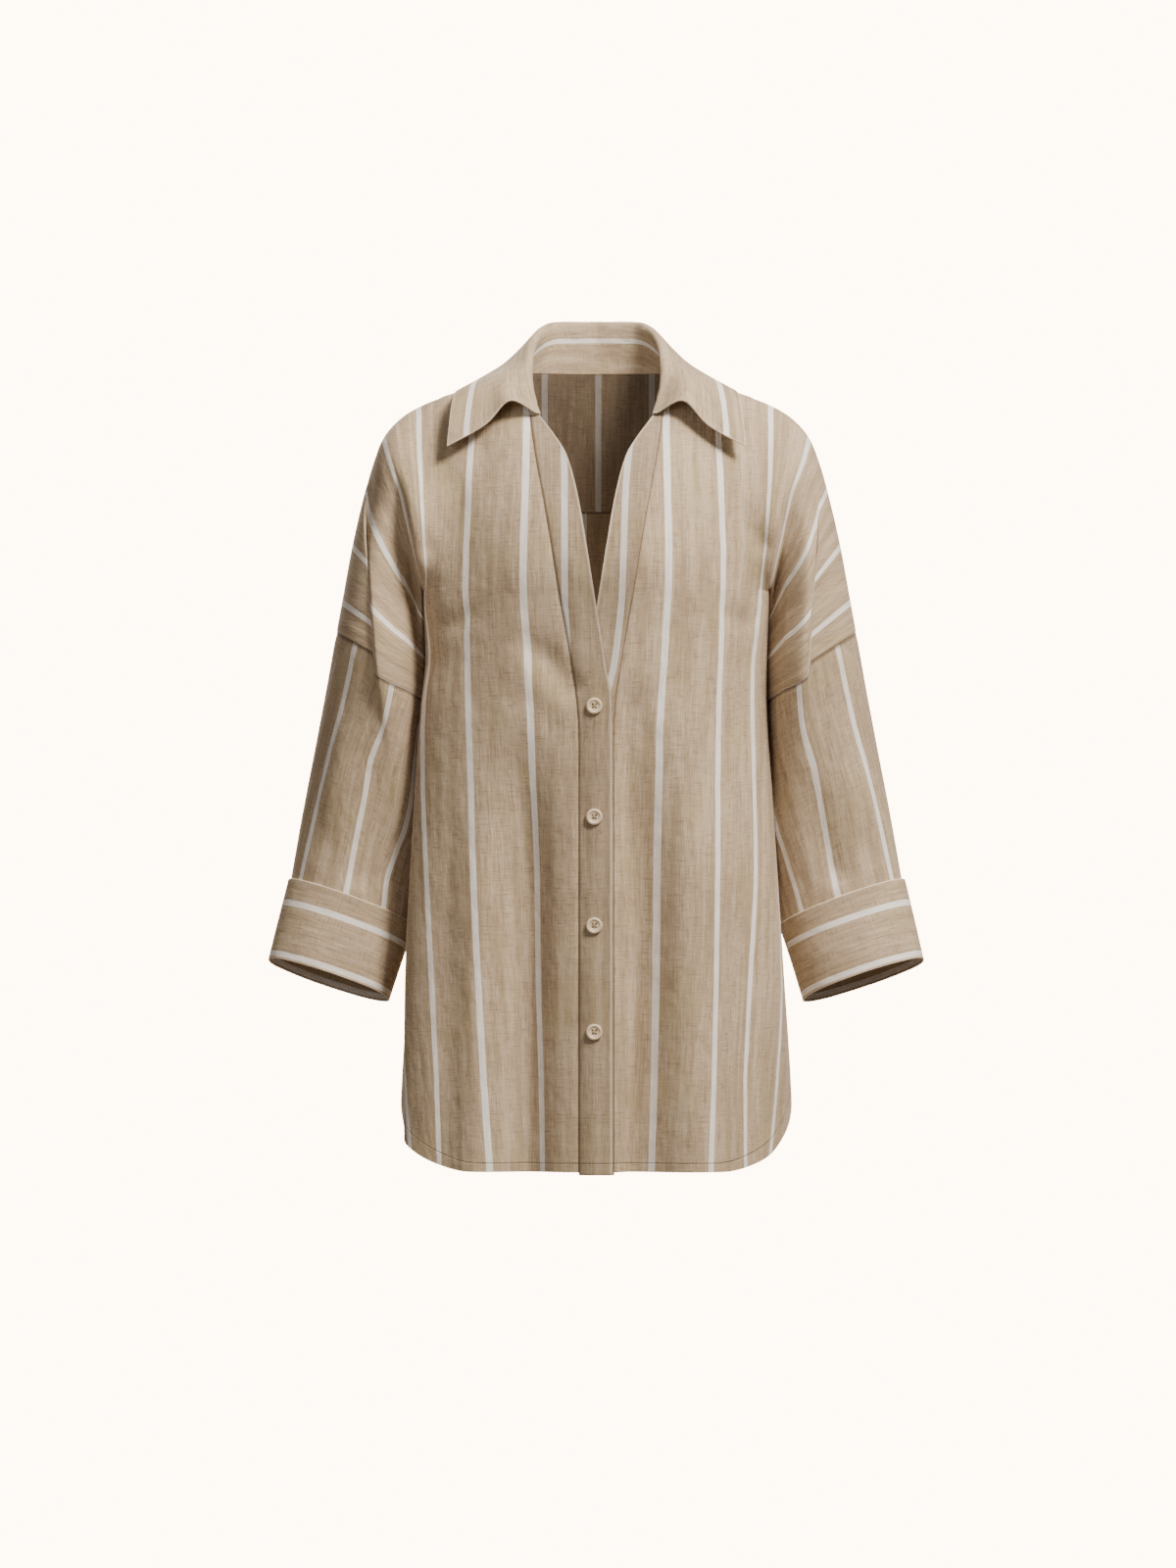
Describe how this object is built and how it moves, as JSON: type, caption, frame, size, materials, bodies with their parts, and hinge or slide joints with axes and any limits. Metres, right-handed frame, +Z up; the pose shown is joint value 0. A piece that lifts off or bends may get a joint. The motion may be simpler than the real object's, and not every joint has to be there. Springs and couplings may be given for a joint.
{
  "type": "blouse",
  "caption": "Loose striped shirt blouse in worn shape: V neck, open collar, dropped shoulders, wide turned cuffs, buttoned front and curved tails.",
  "frame": {"origin": "middle of the neck at shoulder height, where the wearer's shoulders hold the blouse up", "axes": "+X to the viewer's right as seen from the front, the front faces -Y, +Z up towards the collar"},
  "size_m": [0.604, 0.2126, 0.7782],
  "materials": {
    "linen_stripe": "matt",
    "button_cream": "satin"
  },
  "bodies": {
    "root": {"front_right": "linen_stripe", "front_left": "linen_stripe", "front_band_right": "linen_stripe", "front_band_left": "linen_stripe", "back": "linen_stripe", "back_yoke": "linen_stripe", "sleeve_right": "linen_stripe", "sleeve_left": "linen_stripe", "cuff_right": "linen_stripe", "cuff_left": "linen_stripe", "collar": "linen_stripe", "button_1": "button_cream", "button_2": "button_cream", "button_3": "button_cream", "button_4": "button_cream"}
  },
  "joints": []
}
